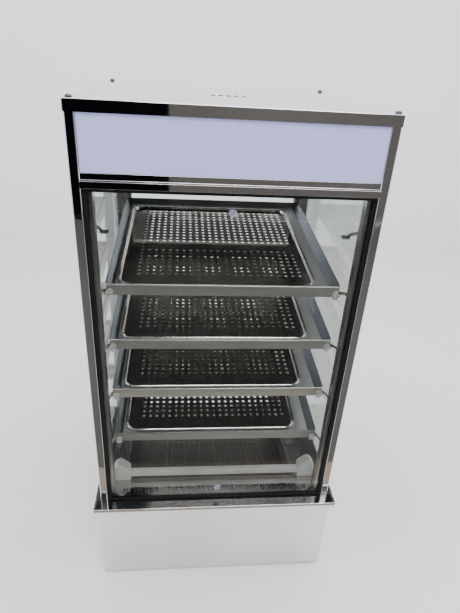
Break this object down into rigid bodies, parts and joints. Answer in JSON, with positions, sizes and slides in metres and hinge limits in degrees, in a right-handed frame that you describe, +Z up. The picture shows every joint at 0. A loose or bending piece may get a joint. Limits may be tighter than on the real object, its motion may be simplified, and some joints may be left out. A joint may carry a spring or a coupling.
{
  "type": "bakery display case",
  "caption": "Heated counter-top display case with glass sides, tilted perforated trays, a sign panel header and a mirror-polished steel base.",
  "frame": {"origin": "centre of the overall footprint, on the surface that the feet stand on", "axes": "+Z up, customer side towards -Y, +X to the customer's right"},
  "size_m": [0.52, 0.547, 1.0043],
  "materials": {
    "mirror_steel": "mirror-polished stainless steel",
    "satin_steel": "satin stainless steel",
    "tray_steel": "polished, lightly used stainless steel",
    "element_steel": "heat-darkened steel sheath",
    "clear_glass": "clear toughened glass",
    "sign_acrylic": "white translucent acrylic",
    "black_rubber": "matte",
    "white_plastic": "white, slightly translucent",
    "black_plastic": "fine moulded texture",
    "clear_plastic": "tinted translucent",
    "red_lens": "translucent lens"
  },
  "bodies": {
    "cabinet": {"base_shell": "mirror_steel", "rim_ledge": "mirror_steel", "floor_pan": "mirror_steel", "post_front_left": "mirror_steel", "post_front_right": "mirror_steel", "post_rear_left": "mirror_steel", "post_rear_right": "mirror_steel", "header_rail": "mirror_steel", "header_box": "mirror_steel", "roof_cap": "mirror_steel", "roof_screw_front_left": "mirror_steel", "roof_screw_front_right": "mirror_steel", "roof_screw_rear_left": "mirror_steel", "roof_screw_rear_right": "mirror_steel", "base_bottom_plate": "satin_steel", "base_rear_panel": "satin_steel", "shelf_frame_1": "satin_steel", "shelf_frame_2": "satin_steel", "shelf_frame_3": "satin_steel", "shelf_frame_4": "satin_steel", "standard_front_left": "satin_steel", "standard_front_right": "satin_steel", "standard_rear_left": "satin_steel", "standard_rear_right": "satin_steel", "upper_hinge_leaf_post": "satin_steel", "lower_hinge_leaf_post": "satin_steel", "heating_element": "element_steel", "front_glass": "clear_glass", "left_glass": "clear_glass", "right_glass": "clear_glass", "sign_panel": "sign_acrylic", "front_glass_seal": "black_rubber", "foot_front_left": "black_rubber", "foot_front_right": "black_rubber", "foot_rear_left": "black_rubber", "foot_rear_right": "black_rubber", "floor_lamp_bar": "white_plastic", "floor_lamp_holder_left": "white_plastic", "floor_lamp_holder_right": "white_plastic", "sign_lamp": "white_plastic", "thermostat_body": "black_plastic", "power_switch_housing": "black_plastic", "lamp_switch_housing": "black_plastic", "power_inlet": "black_plastic", "door_catch": "black_plastic", "glass_pad_upper": "clear_plastic", "glass_pad_lower": "clear_plastic", "pilot_light": "red_lens"},
    "rear_door": {"rear_door_frame": "satin_steel", "rear_door_glass": "clear_glass", "rear_door_handle": "mirror_steel", "upper_hinge_leaf_door": "satin_steel", "lower_hinge_leaf_door": "satin_steel"},
    "thermostat_knob": {"thermostat_knob": "black_plastic"},
    "power_rocker": {"power_switch_rocker": "black_plastic"},
    "lamp_rocker": {"lamp_switch_rocker": "black_plastic"},
    "tray_1": {"shelf_tray_1": "tray_steel"},
    "tray_2": {"shelf_tray_2": "tray_steel"},
    "tray_3": {"shelf_tray_3": "tray_steel"},
    "tray_4": {"shelf_tray_4": "tray_steel"}
  },
  "joints": [
    {"name": "rear_door_hinge", "type": "hinge", "parent": "cabinet", "child": "rear_door", "pos_m": [0.2326, 0.2465, 0.55], "axis": [0, 0, -1], "range_deg": [0, 110]},
    {"name": "thermostat_turn", "type": "hinge", "parent": "cabinet", "child": "thermostat_knob", "pos_m": [0.12, 0.2505, 0.12], "axis": [0, -1, 0], "range_deg": [0, 270]},
    {"name": "power_rocker_tilt", "type": "hinge", "parent": "cabinet", "child": "power_rocker", "pos_m": [0.02, 0.2458, 0.12], "axis": [-1, 0, 0], "range_deg": [0, 16]},
    {"name": "lamp_rocker_tilt", "type": "hinge", "parent": "cabinet", "child": "lamp_rocker", "pos_m": [-0.04, 0.2458, 0.12], "axis": [-1, 0, 0], "range_deg": [0, 16]},
    {"name": "tray_1_lift", "type": "slide", "parent": "cabinet", "child": "tray_1", "axis": [0, -0.1172, 0.9931], "range_m": [0, 0.03]},
    {"name": "tray_2_lift", "type": "slide", "parent": "cabinet", "child": "tray_2", "axis": [0, -0.1172, 0.9931], "range_m": [0, 0.03]},
    {"name": "tray_3_lift", "type": "slide", "parent": "cabinet", "child": "tray_3", "axis": [0, -0.1172, 0.9931], "range_m": [0, 0.03]},
    {"name": "tray_4_lift", "type": "slide", "parent": "cabinet", "child": "tray_4", "axis": [0, -0.1172, 0.9931], "range_m": [0, 0.03]}
  ]
}
